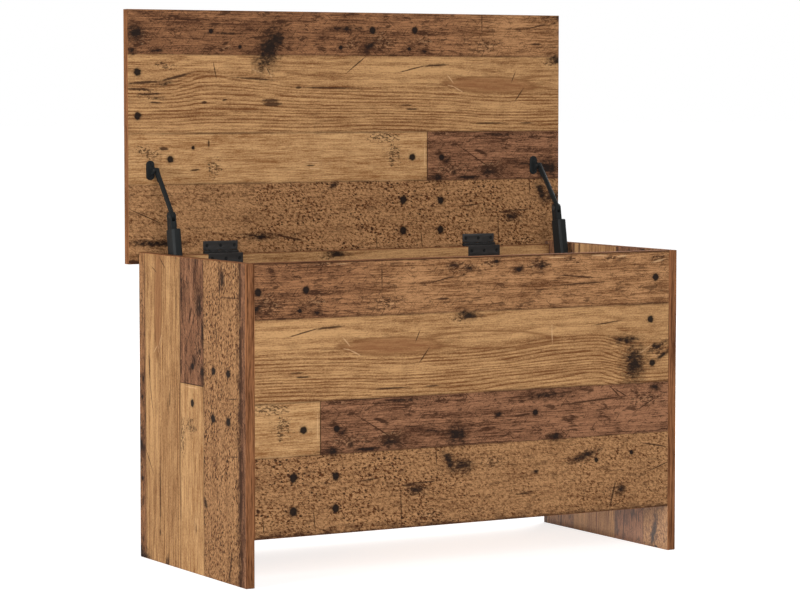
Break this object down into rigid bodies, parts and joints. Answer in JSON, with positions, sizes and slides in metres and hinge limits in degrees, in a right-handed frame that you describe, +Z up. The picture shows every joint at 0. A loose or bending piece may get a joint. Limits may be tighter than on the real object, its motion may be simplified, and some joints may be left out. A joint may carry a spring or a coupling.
{
  "type": "storage chest",
  "caption": "Board storage chest on two side panels, with an overhanging top-hinged lid held open by a folding stay at each end.",
  "frame": {"origin": "on the floor, at the middle of the chest's outline seen from above with its lid standing open", "axes": "+X to the right along the front, +Y to the back where the lid is hinged, +Z up"},
  "size_m": [0.843, 0.4028, 0.904],
  "materials": {
    "printed_board": "satin printed reclaimed-wood decor on board",
    "dowel_wood": "bare turned beech",
    "black_steel": "satin black coat",
    "black_plastic": "matt moulded"
  },
  "bodies": {
    "box": {"left_side_board": "printed_board", "right_side_board": "printed_board", "front_board": "printed_board", "back_board": "printed_board", "bottom_board": "printed_board", "front_low_dowel_left": "dowel_wood", "front_high_dowel_left": "dowel_wood", "back_low_dowel_left": "dowel_wood", "back_high_dowel_left": "dowel_wood", "bottom_dowel_left": "dowel_wood", "front_low_dowel_right": "dowel_wood", "front_high_dowel_right": "dowel_wood", "back_low_dowel_right": "dowel_wood", "back_high_dowel_right": "dowel_wood", "bottom_dowel_right": "dowel_wood", "left_hinge_box_leaf": "black_steel", "left_hinge_pin": "black_steel", "left_hinge_box_screw_1": "black_steel", "left_hinge_box_screw_2": "black_steel", "left_hinge_box_screw_3": "black_steel", "right_hinge_box_leaf": "black_steel", "right_hinge_pin": "black_steel", "right_hinge_box_screw_1": "black_steel", "right_hinge_box_screw_2": "black_steel", "right_hinge_box_screw_3": "black_steel", "left_stay_bracket": "black_steel", "left_stay_bracket_screw_1": "black_steel", "left_stay_bracket_screw_2": "black_steel", "left_stay_base_pin": "black_steel", "right_stay_bracket": "black_steel", "right_stay_bracket_screw_1": "black_steel", "right_stay_bracket_screw_2": "black_steel", "right_stay_base_pin": "black_steel"},
    "lid": {"lid_board": "printed_board", "left_hinge_lid_leaf": "black_steel", "left_hinge_lid_screw_1": "black_steel", "left_hinge_lid_screw_2": "black_steel", "left_hinge_lid_screw_3": "black_steel", "right_hinge_lid_leaf": "black_steel", "right_hinge_lid_screw_1": "black_steel", "right_hinge_lid_screw_2": "black_steel", "right_hinge_lid_screw_3": "black_steel", "left_stay_lid_plate": "black_steel", "left_stay_lid_pin": "black_steel", "left_stay_plate_screw_1": "black_steel", "left_stay_plate_screw_2": "black_steel", "right_stay_lid_plate": "black_steel", "right_stay_lid_pin": "black_steel", "right_stay_plate_screw_1": "black_steel", "right_stay_plate_screw_2": "black_steel"},
    "left_stay_lower": {"left_stay_housing": "black_plastic", "left_stay_neck": "black_steel", "left_stay_brake_cartridge": "black_steel", "left_stay_elbow_pin": "black_steel"},
    "left_stay_upper": {"left_stay_arm": "black_steel"},
    "right_stay_lower": {"right_stay_housing": "black_plastic", "right_stay_neck": "black_steel", "right_stay_brake_cartridge": "black_steel", "right_stay_elbow_pin": "black_steel"},
    "right_stay_upper": {"right_stay_arm": "black_steel"}
  },
  "joints": [
    {"name": "lid_hinge", "type": "hinge", "parent": "box", "child": "lid", "pos_m": [0, 0.1831, 0.502], "axis": [1, 0, 0], "range_deg": [0, 90]},
    {"name": "left_stay_base", "type": "hinge", "parent": "box", "child": "left_stay_lower", "pos_m": [-0.3745, 0.12725, 0.42789], "axis": [1, 0, 0], "range_deg": [0, 90]},
    {"name": "left_stay_elbow", "type": "hinge", "parent": "left_stay_lower", "child": "left_stay_upper", "pos_m": [-0.3745, 0.12125, 0.56539], "axis": [1, 0, 0], "range_deg": [-90, 0]},
    {"name": "right_stay_base", "type": "hinge", "parent": "box", "child": "right_stay_lower", "pos_m": [0.3745, 0.12725, 0.42789], "axis": [1, 0, 0], "range_deg": [0, 90]},
    {"name": "right_stay_elbow", "type": "hinge", "parent": "right_stay_lower", "child": "right_stay_upper", "pos_m": [0.3745, 0.12125, 0.56539], "axis": [1, 0, 0], "range_deg": [-90, 0]}
  ],
  "couplings": [
    {"joint": "left_stay_base", "follows": "lid_hinge", "ratio": 1},
    {"joint": "left_stay_elbow", "follows": "lid_hinge", "ratio": -1},
    {"joint": "right_stay_base", "follows": "lid_hinge", "ratio": 1},
    {"joint": "right_stay_elbow", "follows": "lid_hinge", "ratio": -1}
  ]
}
